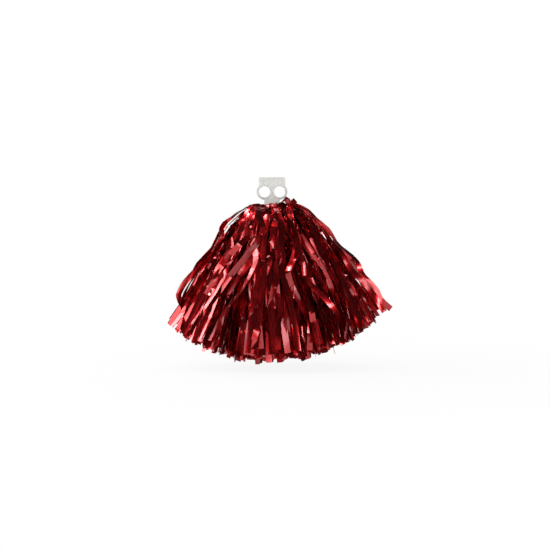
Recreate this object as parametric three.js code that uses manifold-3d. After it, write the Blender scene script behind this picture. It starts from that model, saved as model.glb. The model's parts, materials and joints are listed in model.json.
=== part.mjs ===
// A cheer pom pom: a flat moulded handle with two finger holes, hung on a cable tie that
// gathers a thick bundle of glossy film streamers at their middle. Millimetres, +Z up.
// The origin is the grip centre: midway between the finger holes, on the plate's middle plane.
import * as THREE from "three";
import { mergeVertices } from "three/addons/utils/BufferGeometryUtils.js";
import Module from "manifold-3d";

const wasm = await Module();
wasm.setup();

// ---- Handle plate, lying in the XZ plane ----
const PLATE_THICKNESS = 2.2;
const EDGE_CHAMFER = 0.35;
const HOLE_RADIUS = 10.6; // takes an adult finger
const HOLE_OFFSET = 14.2; // each hole's centre from the middle
const RING_RADIUS = 15; // the plate's outline round each hole
const RIM_RADIUS = 13.4; // the raised rim round each hole
const RIM_THICKNESS = 3.4;
const TAB_HALF_WIDTH = 25;
const TAB_TOP = 27.5;
const TAB_CORNER = 3.5;
const NECK_HALF_WIDTH = 14.5;
const NECK_TAPER_TOP = -25; // below this the neck narrows to its hanging bar
const BAR_HALF_WIDTH = 7.5;
const ARC_SEGMENTS = 6; // three.js draws every arc with twice as many straight pieces

// ---- Hanging bar, slot and cable tie: the handle swings on the tie about the bar's axis ----
const SWING_Z = -31; // height of the bar's axis, which runs along X
const BAR_HALF_HEIGHT = 2.25;
const SLOT_HEIGHT = 2.75;
const SLOT_HALF_WIDTH = 3.2;
const TIE_WIDTH = 4.8;
const TIE_THICKNESS = 1.2;
const TIE_TOP_RADIUS = 3; // inside of the strap where it passes over the bar
const TIE_CLEARANCE = 0.4;

// ---- Gathered middle of the streamers ----
const HEADER_RADIUS = 9; // squeezed waist inside the tie
const HEADER_GAP = 5; // from the bar's axis down to the header's top
const HEADER_Z = SWING_Z - HEADER_GAP - HEADER_RADIUS;
const HEADER_HALF_LENGTH = 10.5;
const HEADER_FLARE_RADIUS = 10.3;

// ---- Streamers ----
const SECTORS = 12;
const SECTOR_SLOPE = Math.tan(Math.PI / SECTORS); // half-width of a sector per unit of radius
const SECTOR_MARGIN = 1.9; // keeps each tuft clear of the planes between sectors
const REACH = 292; // straight distance from the gathered middle to every tip
const REACH_Z = -40; // height the reach is measured from
const SPREAD_SIDE = 213; // tip radius along X
const SPREAD_FRONT = 114; // tip radius along Y
const INNER_SPREAD = 0.62; // the inner layer's tip radius as a share of the outer layer's
const CORE_SPREAD = 58;
const LIFT_RADIUS = 19; // each tuft lifts about a level axis at this radius
const LIFT_Z = -40;
const OUTER_LIFT = THREE.MathUtils.degToRad(45);
const INNER_LIFT = 0.8 * OUTER_LIFT;
const SLIT_WIDTH = 2.4; // gap between neighbouring streamers of one tuft
const SLIT_START = 0.4; // where the streamers come apart, as a share of the tip radius
const CORE_DROP = 16.5; // from the header's axis down to the core tuft, clear of the tie's head
const CORE_STRIPS = 8;
const CORE_STRIP_WIDTH = 10;
const CORE_STRIP_THICKNESS = 2;

// A closed three.js geometry as a manifold-3d solid.
function solid(geometry) {
  const bare = new THREE.BufferGeometry();
  bare.setAttribute("position", geometry.getAttribute("position"));
  if (geometry.index) bare.setIndex(geometry.index);
  const merged = mergeVertices(bare, 1e-4);
  return new wasm.Manifold(
    new wasm.Mesh({
      numProp: 3,
      vertProperties: new Float32Array(merged.attributes.position.array),
      triVerts: new Uint32Array(merged.index.array),
    }),
  );
}

function geometryOf(manifold) {
  const mesh = manifold.getMesh();
  const geometry = new THREE.BufferGeometry();
  geometry.setAttribute("position", new THREE.BufferAttribute(mesh.vertProperties, 3));
  geometry.setIndex(new THREE.BufferAttribute(mesh.triVerts, 1));
  geometry.computeVertexNormals();
  return geometry;
}

// Extrudes a shape drawn in (x, z), centred on y = 0.
function upright(shape, width, chamfer = 0) {
  const geometry = new THREE.ExtrudeGeometry(shape, {
    depth: width - 2 * chamfer,
    curveSegments: ARC_SEGMENTS,
    bevelEnabled: chamfer > 0,
    bevelSize: chamfer,
    bevelOffset: -chamfer,
    bevelThickness: chamfer,
    bevelSegments: 1,
  });
  return geometry.rotateX(Math.PI / 2).translate(0, width / 2 - chamfer, 0);
}

// ---- Handle ----
function plateOutline() {
  const tabAngle = Math.acos((TAB_HALF_WIDTH - HOLE_OFFSET) / RING_RADIUS);
  const neckAngle = -Math.acos((NECK_HALF_WIDTH - HOLE_OFFSET) / RING_RADIUS);
  const cornerX = TAB_HALF_WIDTH - TAB_CORNER;
  const cornerZ = TAB_TOP - TAB_CORNER;
  const bottom = SWING_Z - BAR_HALF_HEIGHT;
  const shape = new THREE.Shape();
  shape.absarc(cornerX, cornerZ, TAB_CORNER, 0, Math.PI / 2);
  shape.absarc(-cornerX, cornerZ, TAB_CORNER, Math.PI / 2, Math.PI);
  shape.absarc(-HOLE_OFFSET, 0, RING_RADIUS, Math.PI - tabAngle, Math.PI - neckAngle);
  shape.lineTo(-NECK_HALF_WIDTH, NECK_TAPER_TOP);
  shape.quadraticCurveTo(-BAR_HALF_WIDTH - 3, bottom, -BAR_HALF_WIDTH, bottom);
  shape.lineTo(BAR_HALF_WIDTH, bottom);
  shape.quadraticCurveTo(BAR_HALF_WIDTH + 3, bottom, NECK_HALF_WIDTH, NECK_TAPER_TOP);
  shape.absarc(HOLE_OFFSET, 0, RING_RADIUS, neckAngle, tabAngle);
  return shape;
}

function circleAt(x, radius, path) {
  path.absarc(x, 0, radius, 0, Math.PI);
  path.absarc(x, 0, radius, Math.PI, 2 * Math.PI);
  return path;
}

function tieSlot() {
  const low = SWING_Z + BAR_HALF_HEIGHT;
  const slot = new THREE.Path();
  slot.moveTo(-SLOT_HALF_WIDTH, low);
  slot.lineTo(SLOT_HALF_WIDTH, low);
  slot.lineTo(SLOT_HALF_WIDTH, low + SLOT_HEIGHT);
  slot.lineTo(-SLOT_HALF_WIDTH, low + SLOT_HEIGHT);
  slot.closePath();
  return slot;
}

function handle() {
  const plate = plateOutline();
  const rimOverlap = 1; // the rim starts inside the plate's hole, so the two join with no shared wall
  plate.holes.push(
    circleAt(-HOLE_OFFSET, HOLE_RADIUS + rimOverlap, new THREE.Path()),
    circleAt(HOLE_OFFSET, HOLE_RADIUS + rimOverlap, new THREE.Path()),
    tieSlot(),
  );
  let made = solid(upright(plate, PLATE_THICKNESS, EDGE_CHAMFER));
  for (const side of [-1, 1]) {
    const rim = circleAt(side * HOLE_OFFSET, RIM_RADIUS, new THREE.Shape());
    rim.holes.push(circleAt(side * HOLE_OFFSET, HOLE_RADIUS, new THREE.Path()));
    made = made.add(solid(upright(rim, RIM_THICKNESS, EDGE_CHAMFER)));
  }
  return geometryOf(made);
}

// ---- Cable tie: a strap like a belt round the bar and the header, with its ratchet head below ----
function beltOutline(offset, path) {
  const top = TIE_TOP_RADIUS + offset;
  const low = HEADER_RADIUS + TIE_CLEARANCE + offset;
  const lean = Math.asin((low - top) / (SWING_Z - HEADER_Z));
  path.absarc(0, SWING_Z, top, lean, Math.PI - lean);
  path.absarc(0, HEADER_Z, low, Math.PI - lean, 2 * Math.PI + lean);
  return path;
}

function cableTie() {
  const strap = beltOutline(TIE_THICKNESS, new THREE.Shape());
  strap.holes.push(beltOutline(0, new THREE.Path()));
  const turned = upright(strap, TIE_WIDTH).rotateZ(Math.PI / 2); // the strap runs in the YZ plane
  const headSize = new THREE.Vector3(7.6, 6.4, 5);
  const tailSize = new THREE.Vector3(4.6, 9, TIE_THICKNESS);
  const joined = 1; // how far the head reaches into the strap, and the tail into the head
  const strapLow = HEADER_Z - HEADER_RADIUS - TIE_CLEARANCE - TIE_THICKNESS;
  const headZ = strapLow + joined - headSize.z / 2;
  const head = new THREE.BoxGeometry(...headSize).translate(0, 0, headZ);
  const tailY = headSize.y / 2 + tailSize.y / 2 - joined;
  const tail = new THREE.BoxGeometry(...tailSize).translate(0, tailY, headZ);
  return geometryOf(solid(turned).add(solid(head)).add(solid(tail)));
}

// ---- Header: the streamers' squeezed middle, lying along X through the tie ----
function header() {
  const end = HEADER_HALF_LENGTH;
  const waist = 4.5; // half-length of the even part inside the tie
  const edgeLength = 1.2;
  const edgeDepth = 0.7;
  const half = [
    [HEADER_RADIUS, waist],
    [HEADER_FLARE_RADIUS, end - edgeLength],
    [HEADER_FLARE_RADIUS - edgeDepth, end],
  ];
  const profile = [
    new THREE.Vector2(0, -end),
    ...half.map(([r, x]) => new THREE.Vector2(r, -x)).reverse(),
    ...half.map(([r, x]) => new THREE.Vector2(r, x)),
    new THREE.Vector2(0, end),
  ];
  return new THREE.LatheGeometry(profile, 24).rotateZ(-Math.PI / 2).translate(0, 0, HEADER_Z);
}

// ---- Streamer tufts, each built pointing along +X from the gathered middle ----

// The tip radius in the direction of an azimuth. The streamers leave the tie at both ends of the
// header, so the bundle is wider than it is deep.
function spreadAt(azimuth) {
  return 1 / Math.hypot(Math.cos(azimuth) / SPREAD_SIDE, Math.sin(azimuth) / SPREAD_FRONT);
}

function tipAt(radius) {
  return new THREE.Vector2(radius, REACH_Z - Math.sqrt(REACH ** 2 - radius ** 2));
}

// The side view of a streamer's middle line: out from the header, over the shoulder and down.
function outerProfile(azimuth) {
  const spread = spreadAt(azimuth);
  return new THREE.CubicBezierCurve(
    new THREE.Vector2(LIFT_RADIUS, LIFT_Z + 2),
    new THREE.Vector2(0.35 * spread, LIFT_Z + 30),
    new THREE.Vector2(0.49 * spread, LIFT_Z - 35),
    tipAt(spread),
  );
}

function innerProfile(azimuth) {
  const spread = INNER_SPREAD * spreadAt(azimuth);
  return new THREE.CubicBezierCurve(
    new THREE.Vector2(LIFT_RADIUS - 3, LIFT_Z - 7),
    new THREE.Vector2(0.34 * spread, LIFT_Z + 8),
    new THREE.Vector2(0.48 * spread, LIFT_Z - 72),
    tipAt(spread),
  );
}

function coreProfile(top) {
  return new THREE.CubicBezierCurve(
    new THREE.Vector2(5, top - 10),
    new THREE.Vector2(0.25 * CORE_SPREAD, top - 50),
    new THREE.Vector2(0.6 * CORE_SPREAD, top - 140),
    tipAt(CORE_SPREAD),
  );
}

// A band of even thickness along a profile, as a shape in (x, z).
function band(profile, thickness, spans) {
  const side = (distance) =>
    Array.from({ length: spans + 1 }, (_, i) => {
      const along = profile.getTangent(i / spans);
      const across = new THREE.Vector2(-along.y, along.x);
      return profile.getPoint(i / spans).addScaledVector(across, distance);
    });
  return new THREE.Shape([...side(-thickness / 2), ...side(thickness / 2).reverse()]);
}

// Half the width a tuft may have at a point of its profile, so that it stays inside its own
// sector both at rest and when it is lifted.
function roomAt({ x, y }, thickness, lift) {
  const rise = y + thickness / 2 - LIFT_Z;
  const lifted = LIFT_RADIUS + (x - LIFT_RADIUS) * Math.cos(lift) - rise * Math.sin(lift);
  return (Math.min(x, lifted) - SECTOR_MARGIN) * SECTOR_SLOPE;
}

// The plan of a tuft: a comb, whole near the root and split into streamers further out.
function combPlan({ profile, thickness, streamers, lift, spans }) {
  const edge = Array.from({ length: spans + 1 }, (_, i) => {
    const point = profile.getPoint(i / spans);
    return new THREE.Vector2(point.x, roomAt(point, thickness, lift));
  });
  const overrun = 8;
  const tip = edge[spans];
  const end = tip.x + overrun;
  const near = new THREE.Vector2(edge[0].x - overrun, edge[0].y);
  const far = new THREE.Vector2(end, tip.y);
  const left = [near, ...edge, far];
  const right = left.map(({ x, y }) => new THREE.Vector2(x, -y));
  const slitStart = SLIT_START * tip.x;
  const slits = [];
  for (let i = 1; i < streamers; i++) {
    const slope = (tip.y / tip.x) * ((2 * i) / streamers - 1);
    for (const [x, side] of [[end, -1], [slitStart, -1], [slitStart, 1], [end, 1]]) {
      slits.push(new THREE.Vector2(x, slope * x + (side * SLIT_WIDTH) / 2));
    }
  }
  return new THREE.Shape([...right, ...slits, ...left.reverse()]);
}

function tuft(options) {
  const sheetWidth = 140; // wider than any tuft
  const sheet = solid(upright(band(options.profile, options.thickness, options.spans), sheetWidth));
  const height = REACH - REACH_Z;
  const plan = new THREE.ExtrudeGeometry(combPlan(options), { depth: height, bevelEnabled: false });
  return geometryOf(sheet.intersect(solid(plan.translate(0, 0, -height))));
}

function outerTuft(azimuth) {
  return tuft({
    profile: outerProfile(azimuth),
    thickness: 4,
    streamers: 6,
    lift: OUTER_LIFT,
    spans: 8,
  });
}

function innerTuft(azimuth) {
  return tuft({
    profile: innerProfile(azimuth),
    thickness: 4,
    streamers: 4,
    lift: INNER_LIFT,
    spans: 7,
  });
}

// The middle streamers hang straight under the header, in a ring round one central strip.
function coreTuft() {
  const top = HEADER_Z - CORE_DROP;
  const gatherLength = 42;
  const gatherTopRadius = 8;
  const gatherBottomRadius = 14;
  const cone = new THREE.CylinderGeometry(gatherTopRadius, gatherBottomRadius, gatherLength, 16);
  let made = solid(cone.rotateX(Math.PI / 2).translate(0, 0, top - gatherLength / 2));
  for (let i = 0; i < CORE_STRIPS; i++) {
    const strip = upright(band(coreProfile(top), CORE_STRIP_THICKNESS, 6), CORE_STRIP_WIDTH);
    made = made.add(solid(strip.rotateZ((2 * Math.PI * (i + 0.5)) / CORE_STRIPS)));
  }
  const bottom = REACH_Z - REACH;
  const sunk = 1; // the central strip starts this far inside the gather
  const length = top - sunk - bottom;
  const middle = new THREE.BoxGeometry(CORE_STRIP_WIDTH, CORE_STRIP_THICKNESS, length);
  return geometryOf(made.add(solid(middle.translate(0, 0, bottom + length / 2))));
}

// ---- Assembly ----
const plastic = new THREE.MeshStandardMaterial({ color: 0xe2e2dc, roughness: 0.45 });
const nylon = new THREE.MeshStandardMaterial({ color: 0xe8e8e4, roughness: 0.4 });
const film = new THREE.MeshStandardMaterial({ color: 0xa01018, roughness: 0.2, metalness: 0.9 });

function part(name, geometry, material) {
  const mesh = new THREE.Mesh(geometry, material);
  mesh.name = name;
  return mesh;
}

const pomPom = new THREE.Group();
pomPom.add(part("handle", handle(), plastic));
pomPom.add(part("cable_tie", cableTie(), nylon));
pomPom.add(part("streamer_header", header(), film));
pomPom.add(part("core_tuft", coreTuft(), film));

for (let i = 0; i < SECTORS; i++) {
  const azimuth = (2 * Math.PI * i) / SECTORS;
  const degrees = String((360 * i) / SECTORS).padStart(3, "0");
  const sector = new THREE.Group();
  sector.rotation.z = azimuth;
  sector.add(part(`outer_tuft_${degrees}`, outerTuft(azimuth), film));
  sector.add(part(`inner_tuft_${degrees}`, innerTuft(azimuth), film));
  pomPom.add(sector);
}

export default pomPom;
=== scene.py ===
import json
import math
import random

import bmesh
import bpy
import numpy as np
from mathutils import Matrix, Vector

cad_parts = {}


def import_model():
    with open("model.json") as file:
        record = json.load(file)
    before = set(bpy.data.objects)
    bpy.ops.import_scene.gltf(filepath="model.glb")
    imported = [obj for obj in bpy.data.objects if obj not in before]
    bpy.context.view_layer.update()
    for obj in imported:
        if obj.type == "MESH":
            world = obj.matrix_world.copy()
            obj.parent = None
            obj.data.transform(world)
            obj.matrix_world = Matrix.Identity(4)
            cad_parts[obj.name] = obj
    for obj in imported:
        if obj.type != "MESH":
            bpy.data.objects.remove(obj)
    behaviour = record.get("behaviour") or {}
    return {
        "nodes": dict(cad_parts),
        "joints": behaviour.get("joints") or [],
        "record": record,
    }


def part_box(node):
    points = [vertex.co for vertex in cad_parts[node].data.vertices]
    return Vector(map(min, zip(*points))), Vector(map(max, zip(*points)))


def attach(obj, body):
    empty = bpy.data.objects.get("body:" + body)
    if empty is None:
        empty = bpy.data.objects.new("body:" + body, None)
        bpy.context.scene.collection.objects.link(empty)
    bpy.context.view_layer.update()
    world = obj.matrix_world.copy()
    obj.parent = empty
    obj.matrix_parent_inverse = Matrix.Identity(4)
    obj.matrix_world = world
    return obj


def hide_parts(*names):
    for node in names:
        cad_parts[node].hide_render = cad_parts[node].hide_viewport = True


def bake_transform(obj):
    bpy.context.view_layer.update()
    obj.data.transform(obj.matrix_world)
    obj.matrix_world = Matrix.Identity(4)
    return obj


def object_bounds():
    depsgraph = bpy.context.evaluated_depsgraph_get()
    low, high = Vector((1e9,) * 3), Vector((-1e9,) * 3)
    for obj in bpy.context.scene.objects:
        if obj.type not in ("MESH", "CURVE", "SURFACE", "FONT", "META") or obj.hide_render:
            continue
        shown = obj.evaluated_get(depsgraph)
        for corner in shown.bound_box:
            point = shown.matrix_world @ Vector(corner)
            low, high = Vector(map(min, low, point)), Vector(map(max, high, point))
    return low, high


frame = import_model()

CAD_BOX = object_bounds()
MM = 0.001

# ---- Places taken from the frame ----
JOINTS = {joint["name"]: joint for joint in frame["joints"]}
HEADER_LOW, HEADER_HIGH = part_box("streamer_header")
HEADER = (HEADER_LOW + HEADER_HIGH) / 2
HANDLE_LOW, HANDLE_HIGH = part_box("handle")
SWING_Z = JOINTS["handle_swing"]["pos_m"][2]
SWING_LIMIT = math.radians(JOINTS["handle_swing"]["range_deg"][1])
REACH_CENTRE_Z = JOINTS["outer_lift_000"]["pos_m"][2]  # the streamers' tips lie on a sphere round it
REACH = REACH_CENTRE_Z - CAD_BOX[0].z
FINGER_HOLES = [opening["box_m"] for opening in frame["record"]["physics"]["openings"]]
SECTORS = sum(name.startswith("outer_lift") for name in JOINTS)

# ---- The bell ----
EDGE_ROOM = 12 * MM  # from the CAD box to the mean edge of the bell, for its strays
SPREAD_SIDE = (CAD_BOX[1].x - CAD_BOX[0].x) / 2 - EDGE_ROOM
SPREAD_FRONT = (CAD_BOX[1].y - CAD_BOX[0].y) / 2 - EDGE_ROOM
SQUARENESS = 2.8  # the bell's plan is fuller than an ellipse, which would be 2
LOPSIDED = 0.16  # how much more the bell bulges on its +X side
LOPSIDED_TIPS = LOPSIDED / 6  # how much further the tips hang out there
SHORTER = 0.009  # half of how much less it reaches down there
OUTER_PER_METRE = 155  # streamers in a tuft, for each metre of the bell's spread there
INNER_PER_METRE = 115
OUTER_SHARES = (0.68, 1.02)  # where the tips of a layer hang, as shares of the bell's spread
INNER_SHARES = (0.34, 0.78)
CORE_COUNT = 44
CORE_SHARE = 0.42  # how far out the outermost of these hang

# ---- Streamers ----
WIDTH = 11 * MM
THICKNESS = 0.22 * MM
ACROSS = 4  # points across a streamer
FLAT = 0.105  # mean length between creases, as a share of a streamer's length
CRINKLES = (0.55, 0.9, 1.5)  # streamers creased closely, middling and sparsely: their flats against FLAT
LONGEST_FLAT = 0.4  # so that a short loose streamer has creases as well
FOLD = 0.004  # half the length that a crease takes up, as a share too
RINGS_PER_FLAT = 4  # cross-sections along a flat stretch
SHARPEST_SMOOTH = 11  # degrees between faces, above which an edge shows as a crease
KINK = 2.8 * MM  # how far creases stand in or out of the bell
TWIST = 0.18  # how far flats and creases turn, in radians
SKEW = 0.3  # how far a crease is off square, as a slope
ROOT_CURL = 2.6  # the gutter that a streamer is squeezed into at the tie, in radians of arc
ROOT_CURL_LENGTH = 0.05  # how soon it opens out, as a share of the length
LEAST_BOW = 0.05  # a flatter arc than this has too large a radius to work with
UNRULY = {1.0: 0.55, 2.0: 0.3, 3.2: 0.15}  # how far streamers wander, and the share that wander so
LONG_ONES = 0.08  # the share that may hang below the fringe
STRAYING_TIPS = 0.2  # the share whose tips stray widely to one side
TURNING_OVER = 0.3  # the share that turn right over on their way down
TURNOVER_LENGTH = 0.05  # how soon they do it, as a share of the length
LOCKS = 3  # groups of streamers in each tuft that cling together
CLING = 0.5  # how far a streamer is drawn to the middle of its lock
draw = random.Random(64)

# ---- Handle ----
RING_RADIUS = 15 * MM
HOLE_RADIUS = 10.6 * MM
HOLE_OFFSET = (FINGER_HOLES[1][0][0] + FINGER_HOLES[1][1][0]) / 2
RIM_RADIUS = 13.4 * MM
PLATE_HALF = 1.1 * MM
RIM_HALF = (HANDLE_HIGH.y - HANDLE_LOW.y) / 2
TAB_HALF_WIDTH = 25 * MM
TAB_CORNER = 3.5 * MM
NECK_HALF_WIDTH = 14.5 * MM
BAR_HALF_WIDTH = 7.5 * MM
SLOT_HALF_WIDTH = 3.2 * MM  # the slot for the tie, just above the bar that it hangs on
SLOT_LOW = SWING_Z + 2.25 * MM
SLOT_HIGH = SLOT_LOW + 2.75 * MM
NECK_CLEARANCE = 0.6 * WIDTH  # from the neck to a streamer's middle line
ROOM_BESIDE_NECK = 2  # the slope at which streamers may rise beside the neck


# ---- Node helpers ----
class Nodes:
    """A material's node tree, with short calls for the nodes used here."""

    def __init__(self, name):
        self.material = bpy.data.materials.new(name)
        self.material.use_nodes = True
        self.tree = self.material.node_tree
        self.surface = self.tree.nodes["Principled BSDF"]

    def add(self, kind, inputs=None, **settings):
        node = self.tree.nodes.new(kind)
        for key, value in settings.items():
            setattr(node, key, value)
        for key, value in (inputs or {}).items():
            self.put(node, key, value)
        return node

    def put(self, node, key, value):
        if isinstance(value, bpy.types.NodeSocket):
            self.tree.links.new(value, node.inputs[key])
        else:
            node.inputs[key].default_value = value

    def math(self, operation, a, b=0.0):
        return self.add("ShaderNodeMath", {0: a, 1: b}, operation=operation).outputs[0]

    def ramp(self, value, low, high, to_low, to_high):
        inputs = {0: value, 1: low, 2: high, 3: to_low, 4: to_high}
        return self.add("ShaderNodeMapRange", inputs).outputs[0]

    def mix(self, factor, a, b):
        node = self.add("ShaderNodeMix", data_type="RGBA")
        self.put(node, 0, factor)
        self.put(node, 6, a)
        self.put(node, 7, b)
        return node.outputs[2]

    def noise(self, vector, scale, detail=2.0, roughness=0.5):
        inputs = {"Vector": vector, "Scale": scale, "Detail": detail, "Roughness": roughness}
        return self.add("ShaderNodeTexNoise", inputs).outputs["Fac"]

    def stretched(self, vector, scale):
        return self.add("ShaderNodeMapping", {"Vector": vector, "Scale": scale}).outputs[0]

    def bump(self, height, distance, strength=1.0, below=None):
        inputs = {"Height": height, "Distance": distance, "Strength": strength}
        if below is not None:
            inputs["Normal"] = below
        return self.add("ShaderNodeBump", inputs).outputs[0]

    def finish(self, **inputs):
        for key, value in inputs.items():
            self.put(self.surface, key.replace("_", " "), value)
        return self.material


# ---- Materials ----
def foil_material():
    """Metallised film: clear lacquer over a tinted mirror, with slack dents and lengthwise drag lines."""
    n = Nodes("red_foil")
    film = n.add("ShaderNodeUVMap", uv_map="Film").outputs[0]
    tone = n.add("ShaderNodeAttribute", attribute_name="tone").outputs["Fac"]
    dents = n.noise(n.stretched(film, (1.0, 0.5, 1.0)), 70.0, detail=1.0)
    drag = n.noise(n.stretched(film, (1.0, 0.04, 1.0)), 1500.0, detail=3.0)
    deep = n.mix(tone, (0.34, 0.003, 0.006, 1), (0.58, 0.009, 0.013, 1))
    worn = n.ramp(drag, 0.35, 0.75, 0.0, 0.25)
    colour = n.mix(worn, deep, (0.70, 0.05, 0.05, 1))
    normal = n.bump(dents, 1.2 * MM, 0.3)
    normal = n.bump(drag, 0.02 * MM, 0.2, normal)
    return n.finish(
        Base_Color=colour,
        Metallic=1.0,
        Roughness=n.ramp(drag, 0.3, 0.8, 0.24, 0.34),
        Coat_Weight=1.0,
        Coat_IOR=1.6,
        Coat_Roughness=0.07,
        Normal=normal,
    )


def handle_material():
    """Hazy polyethylene: milky mottle, fine moulded grain, and painted shade where the surface turns away
    from view.
    """
    n = Nodes("hazy_plastic")
    place = n.add("ShaderNodeTexCoord").outputs["Object"]
    mottle = n.noise(place, 160.0, detail=4.0, roughness=0.6)
    grain = n.noise(place, 1400.0, detail=2.0)
    milky = n.mix(n.ramp(mottle, 0.35, 0.65, 0.0, 1.0), (0.60, 0.60, 0.57, 1), (0.70, 0.70, 0.67, 1))
    # painted shade: the colour is mixed towards dark grey where the surface turns away from the camera,
    # standing in for the shade on rims and edges
    away = n.add("ShaderNodeLayerWeight", {"Blend": 0.5}).outputs["Facing"]
    colour = n.mix(n.ramp(away, 0.1, 0.65, 0.0, 1.0), milky, (0.3, 0.3, 0.29, 1))
    normal = n.bump(grain, 0.05 * MM, 0.6)
    normal = n.bump(mottle, 0.15 * MM, 0.3, normal)
    return n.finish(
        Base_Color=colour,
        Roughness=n.ramp(grain, 0.3, 0.7, 0.34, 0.5),
        Subsurface_Weight=0.15,
        Subsurface_Radius=(2 * MM, 2 * MM, 1.8 * MM),
        Subsurface_Scale=1.0,
        Normal=normal,
    )


def nylon_material():
    """Natural nylon: satin, faintly yellow, with shallow flow marks."""
    n = Nodes("natural_nylon")
    place = n.add("ShaderNodeTexCoord").outputs["Object"]
    flow = n.noise(n.stretched(place, (1.0, 1.0, 0.3)), 500.0, detail=3.0)
    colour = n.mix(flow, (0.62, 0.61, 0.56, 1), (0.74, 0.73, 0.69, 1))
    return n.finish(
        Base_Color=colour,
        Roughness=n.ramp(flow, 0.3, 0.7, 0.3, 0.45),
        Normal=n.bump(flow, 0.05 * MM, 0.5),
    )


def floor_material():
    """Pale and matt, fading into the white background away from the object."""
    n = Nodes("pale_floor")
    place = n.add("ShaderNodeTexCoord").outputs["Object"]
    speckle = n.noise(place, 6.0, detail=3.0)
    n.finish(Base_Color=n.mix(speckle, (0.6, 0.6, 0.6, 1), (0.64, 0.64, 0.64, 1)), Roughness=0.9)
    away = n.add("ShaderNodeVectorMath", {0: place}, operation="LENGTH").outputs["Value"]
    fade = n.ramp(away, 0.1, 0.9, 0.9, 1.0)
    seen = n.add("ShaderNodeLightPath").outputs["Is Camera Ray"]
    white = n.add("ShaderNodeEmission", {"Color": (1, 1, 1, 1)}).outputs[0]
    blended = n.add("ShaderNodeMixShader", {0: n.math("MULTIPLY", fade, seen)})
    n.put(blended, 1, n.surface.outputs[0])
    n.put(blended, 2, white)
    n.put(n.tree.nodes["Material Output"], "Surface", blended.outputs[0])
    return n.material


FOIL = foil_material()
PLASTIC = handle_material()
NYLON = nylon_material()


# ---- Mesh helpers ----
def object_from(name, vertices, faces, material):
    mesh = bpy.data.meshes.new(name)
    mesh.from_pydata(vertices, [], faces)
    mesh.update()
    mesh.materials.append(material)
    made = bpy.data.objects.new(name, mesh)
    bpy.context.scene.collection.objects.link(made)
    return made


def weld(mesh, distance):
    """Merges the vertices that lie closer than a distance, and drops the faces that this closes up."""
    work = bmesh.new()
    work.from_mesh(mesh)
    bmesh.ops.remove_doubles(work, verts=work.verts, dist=distance)
    bmesh.ops.dissolve_degenerate(work, edges=work.edges, dist=distance)
    bmesh.ops.recalc_face_normals(work, faces=work.faces)
    work.to_mesh(mesh)
    work.free()


def smooth(made, degrees):
    made.data.shade_smooth()
    made.data.set_sharp_from_angle(angle=math.radians(degrees))


# ---- Streamers ----
def wave(t, size, turns):
    """A smooth wander along a streamer: two sines with random phases."""
    first, second = draw.random(), draw.random()
    slow = np.sin(2 * math.pi * (turns * t + first))
    fast = np.sin(2 * math.pi * (2.3 * turns * t + second))
    return size * (slow + 0.35 * fast) / 1.35


class Creases:
    """Where a streamer is creased across, and where its cross-sections go: along each flat stretch."""

    def __init__(self, flat):
        self.places = [0.0]
        while self.places[-1] < 1 - 0.5 * flat:
            self.places.append(self.places[-1] + draw.uniform(0.5, 1.5) * flat)
        self.places[-1] = 1.0
        flats = zip(self.places, self.places[1:])
        self.t = np.concatenate([np.linspace(a + FOLD, b - FOLD, RINGS_PER_FLAT) for a, b in flats])

    def facets(self, size):
        """A random value for each flat stretch."""
        return np.repeat([draw.gauss(0, size) for _ in self.places[1:]], RINGS_PER_FLAT)

    def zigzag(self, size):
        """A random value at each crease, changing evenly between them."""
        return np.interp(self.t, self.places, [draw.gauss(0, size) for _ in self.places])


def spread_at(azimuth):
    """How far out the tips of the widest streamers hang in a direction."""
    side = abs(math.cos(azimuth) / SPREAD_SIDE) ** SQUARENESS
    front = abs(math.sin(azimuth) / SPREAD_FRONT) ** SQUARENESS
    return (side + front) ** (-1 / SQUARENESS) * (1 + LOPSIDED_TIPS * math.cos(azimuth))


def bezier(t, control):
    """A cubic Bezier curve's points at t."""
    weights = np.stack([(1 - t) ** 3, 3 * t * (1 - t) ** 2, 3 * t * t * (1 - t), t ** 3], axis=1)
    return weights @ np.array(control)


class Lock:
    """What a few neighbouring streamers share, because they cling together over their middles."""

    def __init__(self, azimuth):
        self.azimuth = azimuth
        self.bulge = draw.gauss(1, 0.07)
        self.lean = draw.gauss(0, 0.2 + 0.6 * abs(math.cos(azimuth)) ** 3)
        self.length = draw.uniform(0.985, 1.005)
        self.drift = math.radians(draw.gauss(0, 7))
        self.sway = draw.gauss(0, 12) * MM


def under_handle(path):
    """Holds a path under the wedge that the handle's neck sweeps as it swings."""
    x, y, z = path.T
    beside = np.maximum(np.abs(x) - NECK_HALF_WIDTH - NECK_CLEARANCE, 0) * ROOM_BESIDE_NECK
    before = np.maximum(np.abs(y) - NECK_CLEARANCE, 0) / math.tan(SWING_LIMIT)
    roof = HANDLE_LOW.z - NECK_CLEARANCE + beside + before
    return np.column_stack([x, y, np.minimum(z, roof)])


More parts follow.
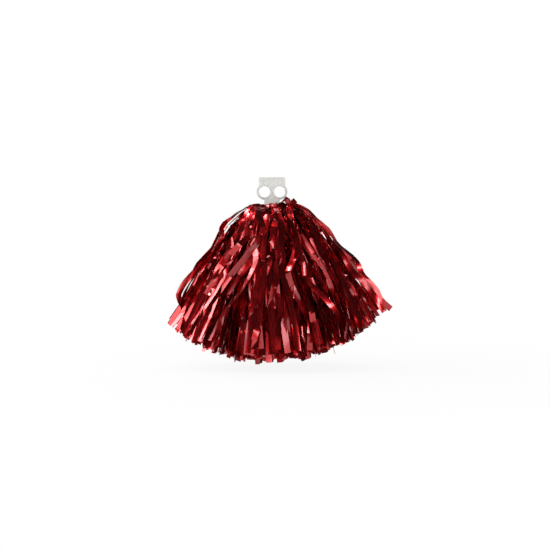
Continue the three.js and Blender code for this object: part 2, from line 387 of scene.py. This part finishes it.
def streamer_path(creases, lock, azimuth, share, unruly):
    """The middle line of a streamer whose tip is at the given share of the bell's full spread."""
    t = creases.t
    to_side = math.cos(azimuth)
    degrees = 3 if draw.random() < 1 - STRAYING_TIPS else 15
    tip_azimuth = azimuth + lock.drift + math.radians(draw.gauss(0, degrees))
    radius = share * spread_at(tip_azimuth)
    wide = radius / SPREAD_SIDE
    sideways = abs(math.cos(tip_azimuth)) * wide
    hang = (0.975 + 0.037 * sideways ** 0.6) * lock.length * draw.uniform(0.98, 1)
    if draw.random() < LONG_ONES:
        hang = draw.uniform(0.99, 1.03)
    reach = REACH * hang * (1 - SHORTER * (1 + to_side))

    # Radius and height of the points that steer it: up out of the tie, over a shoulder, down to the tip.
    # Streamers with their tips further in are tucked under the others.
    tuck = 1 - share
    loose = draw.uniform(-5, 4) * MM
    fuller = 1 + LOPSIDED * to_side
    root = (6 * MM, HEADER.z + (5 - 9 * tuck) * MM)
    shoulder_z = HEADER.z + (53 - 10 * to_side ** 2 - 58 * tuck) * MM + loose
    shoulder = ((14 + 41 * wide) * fuller * MM, shoulder_z)
    flank = (79 * lock.bulge * fuller * wide ** 0.6 * MM, HEADER.z - (18 + 70 * tuck) * MM + loose)
    tip = (radius, REACH_CENTRE_Z - math.sqrt(reach ** 2 - radius ** 2))
    profile = bezier(t, [root, shoulder, flank, tip])

    # Its wandering grows away from the tie.
    grow = unruly * t ** 0.7
    radial = wave(t, draw.uniform(2, 6) * MM, draw.uniform(0.7, 1.6)) * 2 * (1.1 - t)
    height = wave(t, draw.uniform(1, 5) * MM, draw.uniform(0.8, 1.6)) * (1 - t)
    aside = wave(t, draw.uniform(3, 14) * MM, draw.uniform(0.6, 1.5)) + creases.zigzag(2.5 * MM)
    aside = aside + lock.sway * np.sin(math.pi * t)
    turn = azimuth + (tip_azimuth - azimuth) * t + CLING * (lock.azimuth - azimuth) * np.sin(math.pi * t)
    out = np.stack([np.cos(turn), np.sin(turn)], axis=1)
    along = np.stack([-np.sin(turn), np.cos(turn)], axis=1)
    distance = np.maximum(profile[:, 0] + grow * radial, 4 * MM)
    plan = out * distance[:, None] + along * (grow * aside)[:, None]
    return np.column_stack([plan, profile[:, 1] + grow * height])


def through(places, t):
    """A smooth line through listed points, at the given shares of its length."""
    places = np.array(places)
    gaps = np.linalg.norm(np.diff(places[:, :3], axis=0), axis=1)
    knots = np.concatenate([[0], np.cumsum(gaps)])
    slopes = np.gradient(places, knots, axis=0)
    line = []
    for distance in t * knots[-1]:
        i = min(int(np.searchsorted(knots, distance, side="right")) - 1, len(gaps) - 1)
        f = (distance - knots[i]) / gaps[i]
        rise, fall = slopes[i] * gaps[i], slopes[i + 1] * gaps[i]
        line.append(
            places[i] * (1 + 2 * f) * (1 - f) ** 2 + rise * f * (1 - f) ** 2
            + places[i + 1] * f * f * (3 - 2 * f) - fall * f * f * (1 - f)
        )
    return np.array(line)


def unit(vectors):
    return vectors / np.linalg.norm(vectors, axis=-1, keepdims=True)


def directions(path):
    """At each point of a path: its tangent, the level direction across it, and the way out of the bell."""
    tangent = unit(np.gradient(path, axis=0))
    level = np.column_stack([-path[:, 1], path[:, 0], np.zeros(len(path))])
    level = unit(level - tangent * np.sum(level * tangent, axis=1, keepdims=True))
    return tangent, level, np.cross(tangent, level)


def random_lean(creases, lock):
    """How far a streamer turns about its own length: less at tips in front and behind; some turn over."""
    t = creases.t
    lean = lock.lean + draw.gauss(0, 0.15) + wave(t, draw.uniform(0.1, 0.5), draw.uniform(0.5, 1.3))
    lean = lean * (1 - 0.6 * abs(math.sin(lock.azimuth)) ** 3 * t ** 5)
    if draw.random() < TURNING_OVER:
        place = draw.uniform(0.2, 0.75)
        turnover = (1 + np.tanh((t - place) / TURNOVER_LENGTH)) / 2
        lean = lean + draw.choice([-1, 1]) * math.pi * turnover
    return lean + (creases.facets(TWIST) + creases.zigzag(TWIST)) * np.minimum(1, t / 0.3)


def streamer_rings(creases, path, lean):
    """Cross-sections of a thin creased film strip: gathered into a gutter at the root, then opening out."""
    t = creases.t
    outward = directions(path)[2]
    path = under_handle(path + outward * (creases.zigzag(KINK) * t ** 0.4)[:, None])
    tangent, level, outward = directions(path)
    side = level * np.cos(lean)[:, None] + outward * np.sin(lean)[:, None]
    face = np.cross(tangent, side)
    bow = draw.uniform(-0.35, 0.35) + wave(t, 0.15, 1.7) + ROOT_CURL * np.exp(-t / ROOT_CURL_LENGTH)
    bow = np.where(np.abs(bow) < LEAST_BOW, LEAST_BOW, bow)
    angle = np.linspace(-0.5, 0.5, ACROSS)[None, :] * bow[:, None]
    radius = (WIDTH / bow)[:, None]
    x = radius * np.sin(angle)
    y = radius * (1 - np.cos(angle))
    y = y - y.mean(axis=1, keepdims=True)
    slant = (creases.zigzag(SKEW) * (1 - t ** 8))[:, None] * x
    centre = path[:, None] + side[:, None] * x[..., None] + face[:, None] * y[..., None]
    centre = centre + tangent[:, None] * slant[..., None]
    normal = face[:, None] * np.cos(angle)[..., None] - side[:, None] * np.sin(angle)[..., None]
    top = centre + normal * THICKNESS / 2
    bottom = centre - normal * THICKNESS / 2
    return np.concatenate([top, bottom[:, ::-1]], axis=1)


class StreamerMesh:
    """Gathers many streamers into one mesh, with a Film UV map in metres and a random tone for each."""

    def __init__(self):
        self.vertices = []
        self.faces = []
        self.film = []
        self.tone = []

    def add(self, rings):
        base = len(self.vertices)
        count, loop = rings.shape[:2]
        self.vertices.extend(rings.reshape(-1, 3).tolist())
        around = list(range(loop))
        for i in range(count - 1):
            for j in around:
                k = (j + 1) % loop
                ring, after = base + i * loop, base + (i + 1) * loop
                self.faces.append((ring + j, ring + k, after + k, after + j))
        last = base + (count - 1) * loop
        for j in range(ACROSS - 1):
            low, high = j, j + 1
            back_low, back_high = loop - 1 - low, loop - 1 - high
            self.faces.append((base + back_low, base + back_high, base + high, base + low))
            self.faces.append((last + low, last + high, last + back_high, last + back_low))
        step = np.linalg.norm(np.diff(rings.mean(axis=1), axis=0), axis=1)
        length = np.concatenate([[0], np.cumsum(step)]) + draw.uniform(0, 5)
        across = np.linspace(0, WIDTH, ACROSS) + draw.uniform(0, 5)
        across = np.concatenate([across, across[::-1]])
        tone = draw.random()
        for along in length:
            self.film.extend((u, along) for u in across)
        self.tone.extend([tone] * (count * loop))

    def build(self, name):
        made = object_from(name, self.vertices, self.faces, FOIL)
        mesh = made.data
        film = mesh.uv_layers.new(name="Film")
        corner = np.zeros(len(mesh.loops), dtype=np.int32)
        mesh.loops.foreach_get("vertex_index", corner)
        film.data.foreach_set("uv", np.array(self.film)[corner].astype(np.float32).ravel())
        mesh.attributes.new("tone", "FLOAT", "POINT").data.foreach_set("value", self.tone)
        smooth(made, SHARPEST_SMOOTH)
        return made


# Single streamers given one by one, by the tuft they belong to: the loop and the stub beside the neck, the
# strays on both sides, three that drape over the front and two that cross it. Each is a list of points
# from root to tip: x, y and z in mm, and the turn about its own length in degrees.
LOOSE_STREAMERS = {
    "outer_000": [
        [(6, -3, -42, 0), (40, -12, -26, 0), (84, -20, -50, 5), (124, -26, -101, 20), (148, -30, -122, 25),
         (160, -30, -136, 40), (172, -30, -160, 75), (200, -32, -187, 85), (210, -34, -204, 80),
         (225, -30, -221, 80)],
        [(6, -6, -42, 0), (10, -18, -32, 10), (15, -22, -22, 15), (20, -23, -16, 30), (27, -23, -15, 70),
         (33, -24, -25, 90), (38, -26, -38, 90), (45, -30, -58, 90), (50, -36, -90, 75), (56, -40, -140, 50)],
        [(8, -10, -42, 30), (25, -16, -32, 80), (34, -17, -23, 95), (42, -17, -14, 95)],
        [(6, -4, -42, 0), (46, -18, -30, 0), (90, -26, -64, 10), (128, -34, -112, 30), (152, -38, -146, 60),
         (176, -38, -172, 80), (192, -38, -196, 60), (204, -36, -226, 40)],
    ],
    "outer_180": [
        [(-6, -3, -40, 0), (-40, -10, -30, 15), (-73, -14, -46, 25), (-91, -16, -63, 60), (-96, -18, -90, 90),
         (-121, -22, -126, 60), (-152, -26, -170, 20), (-170, -30, -218, 60)],
        [(-6, 4, -40, 0), (-60, 4, -36, 0), (-106, 6, -92, 40), (-145, 4, -148, 60), (-169, 2, -184, 80),
         (-175, 0, -206, 60), (-170, -4, -236, 30)],
    ],
    "outer_300": [
        [(3, -6, -40, 0), (20, -34, -34, 0), (44, -66, -84, 0), (58, -86, -140, 0), (74, -96, -178, 20),
         (100, -96, -200, 30), (122, -88, -226, 10), (138, -80, -268, 0)],
    ],
    "outer_270": [
        [(-2, -6, -40, 0), (-5, -24, -29, 0), (-9, -46, -38, 0), (-12, -60, -66, 5), (-16, -74, -112, 0),
         (-14, -90, -166, -10), (-22, -100, -226, 10), (-20, -106, -290, 0)],
        [(-3, -6, -40, 0), (-12, -22, -29, -5), (-21, -42, -38, -10), (-26, -56, -64, 0),
         (-30, -70, -110, 10), (-26, -86, -166, 0), (-36, -98, -222, -10), (-38, -104, -284, 0)],
        [(2, -6, -40, 0), (6, -26, -29, 5), (12, -50, -42, 10), (18, -66, -78, 0), (16, -80, -124, 10),
         (26, -94, -180, -10), (28, -102, -236, 0), (38, -106, -296, 0)],
    ],
    "outer_240": [
        [(-3, -6, -40, 0), (-14, -36, -32, 0), (-36, -70, -84, 0), (-30, -94, -132, 20),
         (-52, -104, -176, 40), (-84, -100, -212, 20), (-96, -90, -262, 0)],
    ],
}


def strand(lock, azimuth, share):
    creases = Creases(FLAT * draw.choice(CRINKLES))
    unruly = draw.choices(list(UNRULY), list(UNRULY.values()))[0]
    path = streamer_path(creases, lock, azimuth, share, unruly)
    return streamer_rings(creases, path, random_lean(creases, lock))


def loose_strand(points):
    corners = np.array(points)[:, :3] * MM
    length = np.linalg.norm(np.diff(corners, axis=0), axis=1).sum()
    creases = Creases(min(LONGEST_FLAT, FLAT * REACH / length))
    line = through(points, creases.t)
    return streamer_rings(creases, line[:, :3] * MM, np.radians(line[:, 3]))


def tuft(layer, sector, per_metre, shares):
    """One tuft of streamers, hanging from the tied bundle, built as one mesh in place of the CAD tuft."""
    degrees = round(360 * sector / SECTORS)
    body = f"{layer}_{degrees:03d}"
    middle = math.radians(degrees)
    half = math.pi / SECTORS
    strands = StreamerMesh()
    count = round(per_metre * spread_at(middle))
    locks = [Lock(middle + half * (2 * (j + draw.random()) / LOCKS - 1)) for j in range(LOCKS)]
    for i in range(count):
        place = (i + draw.random()) / count
        azimuth = middle + half * (2 * place - 1)
        share = shares[0] + (shares[1] - shares[0]) * draw.random() ** 0.8
        strands.add(strand(locks[int(LOCKS * place)], azimuth, share))
    for points in LOOSE_STREAMERS.get(body, []):
        strands.add(loose_strand(points))
    made = strands.build(f"{layer}_streamers_{degrees:03d}")
    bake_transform(made)
    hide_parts(f"{layer}_tuft_{degrees:03d}")


def core():
    strands = StreamerMesh()
    for i in range(CORE_COUNT):
        azimuth = 2 * math.pi * (i + draw.random()) / CORE_COUNT
        strands.add(strand(Lock(azimuth), azimuth, CORE_SHARE * math.sqrt(draw.random())))
    made = strands.build("core_streamers")
    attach(made, "bundle")
    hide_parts("core_tuft")


def header_roll():
    """The squeezed middle of the streamers: a pleated roll along X, pinched where the tie goes round it."""
    steps, pleats = 18, 96
    pinch_length, pinch_depth = 5 * MM, 1.5 * MM
    half_length = (HEADER_HIGH.x - HEADER_LOW.x) / 2
    flare = (HEADER_HIGH.z - HEADER_LOW.z) / 2
    vertices = []
    for i in range(steps + 1):
        x = half_length * (2 * i / steps - 1)
        pinch = math.exp(-((x / pinch_length) ** 2))
        radius = flare - pinch_depth * pinch
        for j in range(pleats):
            angle = 2 * math.pi * j / pleats
            depth = (0.5 * (j % 2) + 0.25 * math.sin(angle * 7 + 3 * x / half_length)) * MM
            r = radius - depth * (1 - 0.4 * pinch)
            vertices.append((x, r * math.cos(angle), HEADER.z + r * math.sin(angle)))
    faces = []
    for i in range(steps):
        for j in range(pleats):
            k = (j + 1) % pleats
            faces.append((i * pleats + j, i * pleats + k, (i + 1) * pleats + k, (i + 1) * pleats + j))
    faces.append(tuple(range(pleats))[::-1])
    faces.append(tuple(steps * pleats + j for j in range(pleats)))
    made = object_from("gathered_film", vertices, faces, FOIL)
    made.data.uv_layers.new(name="Film")
    smooth(made, 30)
    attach(made, "bundle")
    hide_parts("streamer_header")


# ---- Handle ----
def arc(x, z, radius, start, end, steps=20):
    turns = np.linspace(start, end, steps + 1)
    return [(x + radius * math.cos(a), z + radius * math.sin(a)) for a in turns]


def plate_outline():
    """Half of the plate's outline, from the tab's corner down to the hanging bar, then its mirror image."""
    tab_angle = math.acos((TAB_HALF_WIDTH - HOLE_OFFSET) / RING_RADIUS)
    neck_angle = -math.acos((NECK_HALF_WIDTH - HOLE_OFFSET) / RING_RADIUS)
    bottom = HANDLE_LOW.z
    taper = bezier(np.linspace(0, 1, 9), [
        (NECK_HALF_WIDTH, bottom + 8 * MM),
        (NECK_HALF_WIDTH, bottom + 3 * MM),
        (BAR_HALF_WIDTH + 3 * MM, bottom),
        (BAR_HALF_WIDTH, bottom),
    ])
    right = [
        *arc(TAB_HALF_WIDTH - TAB_CORNER, HANDLE_HIGH.z - TAB_CORNER, TAB_CORNER, math.pi / 2, 0, 8),
        *arc(HOLE_OFFSET, 0, RING_RADIUS, tab_angle, neck_angle, 40),
        *taper.tolist(),
    ]
    return right + [(-x, z) for x, z in reversed(right)]


def plate_from(name, loops, half_depth, rounding):
    """A closed plate in the XZ plane with rounded edges, from an outline and its holes."""
    curve = bpy.data.curves.new(name, "CURVE")
    curve.dimensions = "2D"
    curve.fill_mode = "BOTH"
    curve.extrude = half_depth - rounding
    curve.bevel_depth = rounding
    curve.bevel_resolution = 2
    curve.offset = -rounding
    for loop in loops:
        spline = curve.splines.new("POLY")
        spline.points.add(len(loop) - 1)
        for point, (x, z) in zip(spline.points, loop):
            point.co = (x, z, 0, 1)
        spline.use_cyclic_u = True
    drawn = bpy.data.objects.new(name, curve)
    mesh = bpy.data.meshes.new_from_object(drawn)
    mesh.transform(Matrix.Rotation(math.pi / 2, 4, "X"))
    bpy.data.objects.remove(drawn)
    made = bpy.data.objects.new(name, mesh)
    bpy.context.scene.collection.objects.link(made)
    weld(mesh, 0.001 * MM)
    return made


def rim(name, x):
    """The raised bead round a finger hole."""
    turns, section = 72, 14
    middle = (HOLE_RADIUS + RIM_RADIUS) / 2
    half_width = (RIM_RADIUS - HOLE_RADIUS) / 2
    vertices = []
    for i in range(turns):
        a = 2 * math.pi * i / turns
        for j in range(section):
            b = 2 * math.pi * j / section
            across = math.copysign(abs(math.cos(b)) ** 0.6, math.cos(b))
            depth = math.copysign(abs(math.sin(b)) ** 0.6, math.sin(b))
            r = middle + half_width * across
            vertices.append((x + r * math.cos(a), RIM_HALF * depth, r * math.sin(a)))
    faces = []
    for i in range(turns):
        for j in range(section):
            i2, j2 = (i + 1) % turns, (j + 1) % section
            faces.append((i * section + j, i * section + j2, i2 * section + j2, i2 * section + j))
    return object_from(name, vertices, faces, PLASTIC)


def combine(target, operation, other):
    modifier = target.modifiers.new(operation, "BOOLEAN")
    modifier.operation = operation
    modifier.object = other
    modifier.solver = "EXACT"
    evaluated = target.evaluated_get(bpy.context.evaluated_depsgraph_get())
    mesh = bpy.data.meshes.new_from_object(evaluated)
    target.modifiers.clear()
    target.data = mesh
    bpy.data.objects.remove(other)


def handle():
    """The moulded handle: plate, rims, a shallow blank panel on each side of the tab, and the tie's slot."""
    slot = [(-SLOT_HALF_WIDTH, SLOT_LOW), (SLOT_HALF_WIDTH, SLOT_LOW)]
    slot += [(SLOT_HALF_WIDTH, SLOT_HIGH), (-SLOT_HALF_WIDTH, SLOT_HIGH)]
    inside_rim = HOLE_RADIUS + 1 * MM
    holes = [arc(side * HOLE_OFFSET, 0, inside_rim, 0, 2 * math.pi, 64)[:-1] for side in (-1, 1)]
    made = plate_from("handle_shell", [plate_outline(), *holes, slot], PLATE_HALF, 0.8 * MM)
    for side in (-1, 1):
        combine(made, "UNION", rim("rim", side * HOLE_OFFSET))
    panel_half, panel_low, panel_high, corner = 19 * MM, 16.5 * MM, 24.5 * MM, 1.5 * MM
    panel = [
        *arc(panel_half - corner, panel_high - corner, corner, math.pi / 2, 0, 6),
        *arc(panel_half - corner, panel_low + corner, corner, 0, -math.pi / 2, 6),
        *arc(corner - panel_half, panel_low + corner, corner, -math.pi / 2, -math.pi, 6),
        *arc(corner - panel_half, panel_high - corner, corner, math.pi, math.pi / 2, 6),
    ]
    for side in (-1, 1):
        cutter = plate_from("cutter", [panel], 0.5 * MM, 0.1 * MM)
        cutter.location.y = side * (PLATE_HALF + 0.25 * MM)
        bpy.context.view_layer.update()
        combine(made, "DIFFERENCE", cutter)
    weld(made.data, 0.03 * MM)  # the cuts leave slivers
    made.data.materials.clear()
    made.data.materials.append(PLASTIC)
    smooth(made, 35)
    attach(made, "handle")
    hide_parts("handle")


# ---- Tie: the CAD node with its own finish ----
def paint(node, material):
    made = frame["nodes"][node]
    made.data.materials.clear()
    made.data.materials.append(material)


# ---- Stage ----
def stage():
    floor = object_from(
        "floor",
        [(-20, -20, 0), (20, -20, 0), (20, 20, 0), (-20, 20, 0)],
        [(0, 1, 2, 3)],
        floor_material(),
    )
    floor.location.z = CAD_BOX[0].z - 2 * MM


def area_light(name, place, aim, size, power):
    light = bpy.data.lights.new(name, "AREA")
    light.shape = "RECTANGLE"
    light.size, light.size_y = size
    light.energy = power
    made = bpy.data.objects.new(name, light)
    bpy.context.scene.collection.objects.link(made)
    made.location = place
    made.rotation_euler = (aim - place).to_track_quat("-Z", "Y").to_euler()


def softbox(name, place, size, power):
    """A rectangular light aimed at the bell, with a brighter middle as a real softbox has."""
    place, aim = Vector(place), Vector((0, 0, -0.18))
    area_light(name, place, aim, size, 0.65 * power)
    closer = place + 0.02 * (aim - place)
    area_light(f"{name}_middle", closer, aim, (size[0] / 2, size[1] / 2), 0.35 * power)


def world(to_camera, to_matt, to_foil):
    """White to the camera, soft to matt surfaces, and a dark studio to the foil."""
    made = bpy.data.worlds.new("studio")
    bpy.context.scene.world = made
    made.use_nodes = True
    nodes, links = made.node_tree.nodes, made.node_tree.links
    background = nodes["Background"]
    background.inputs["Color"].default_value = (1, 1, 1, 1)
    ray = nodes.new("ShaderNodeLightPath")
    seen = nodes.new("ShaderNodeMix")
    mirrored = nodes.new("ShaderNodeMix")
    links.new(ray.outputs["Is Camera Ray"], seen.inputs[0])
    seen.inputs[2].default_value = to_matt
    seen.inputs[3].default_value = to_camera
    links.new(ray.outputs["Is Glossy Ray"], mirrored.inputs[0])
    links.new(seen.outputs[0], mirrored.inputs[2])
    mirrored.inputs[3].default_value = to_foil
    links.new(mirrored.outputs[0], background.inputs["Strength"])


def camera():
    """A long lens, nearly level, aimed where the photograph's centre falls."""
    data = bpy.data.cameras.new("camera")
    data.lens = 85
    made = bpy.data.objects.new("camera", data)
    bpy.context.scene.collection.objects.link(made)
    view_width = 1.045  # metres across the picture, at the aim
    distance = view_width * data.lens / data.sensor_width
    elevation = math.radians(2)
    aim = Vector((5.7 * MM, 0, -158 * MM))
    made.location = aim + distance * Vector((0, -math.cos(elevation), math.sin(elevation)))
    made.rotation_euler = (aim - made.location).to_track_quat("-Z", "Y").to_euler()
    bpy.context.scene.camera = made


for index in range(SECTORS):
    tuft("outer", index, OUTER_PER_METRE, OUTER_SHARES)
    tuft("inner", index, INNER_PER_METRE, INNER_SHARES)
core()
header_roll()
handle()
paint("cable_tie", NYLON)
stage()
# Softboxes, with their places and sizes in metres and their powers in watts.
softbox("key", (-1.7, -0.5, 0.8), (0.9, 1.1), 13)
softbox("wall", (-1.6, 0.4, 0.5), (1.2, 1.3), 15)
softbox("top", (0.3, 0.2, 1.5), (1.0, 0.6), 4)
softbox("side", (1.6, -0.8, 0.2), (0.4, 1.0), 6)
softbox("glint", (-0.35, -0.9, 1.2), (0.5, 0.35), 6)
softbox("low", (0.1, -1.5, -0.1), (1.6, 0.25), 2.5)
softbox("back_left", (-1.2, 1.4, 0.6), (0.8, 0.8), 6)
softbox("back_right", (1.1, 1.5, 0.3), (0.5, 0.9), 5)
world(to_camera=1.0, to_matt=0.66, to_foil=0.02)
camera()
bpy.context.scene.view_settings.view_transform = "Standard"
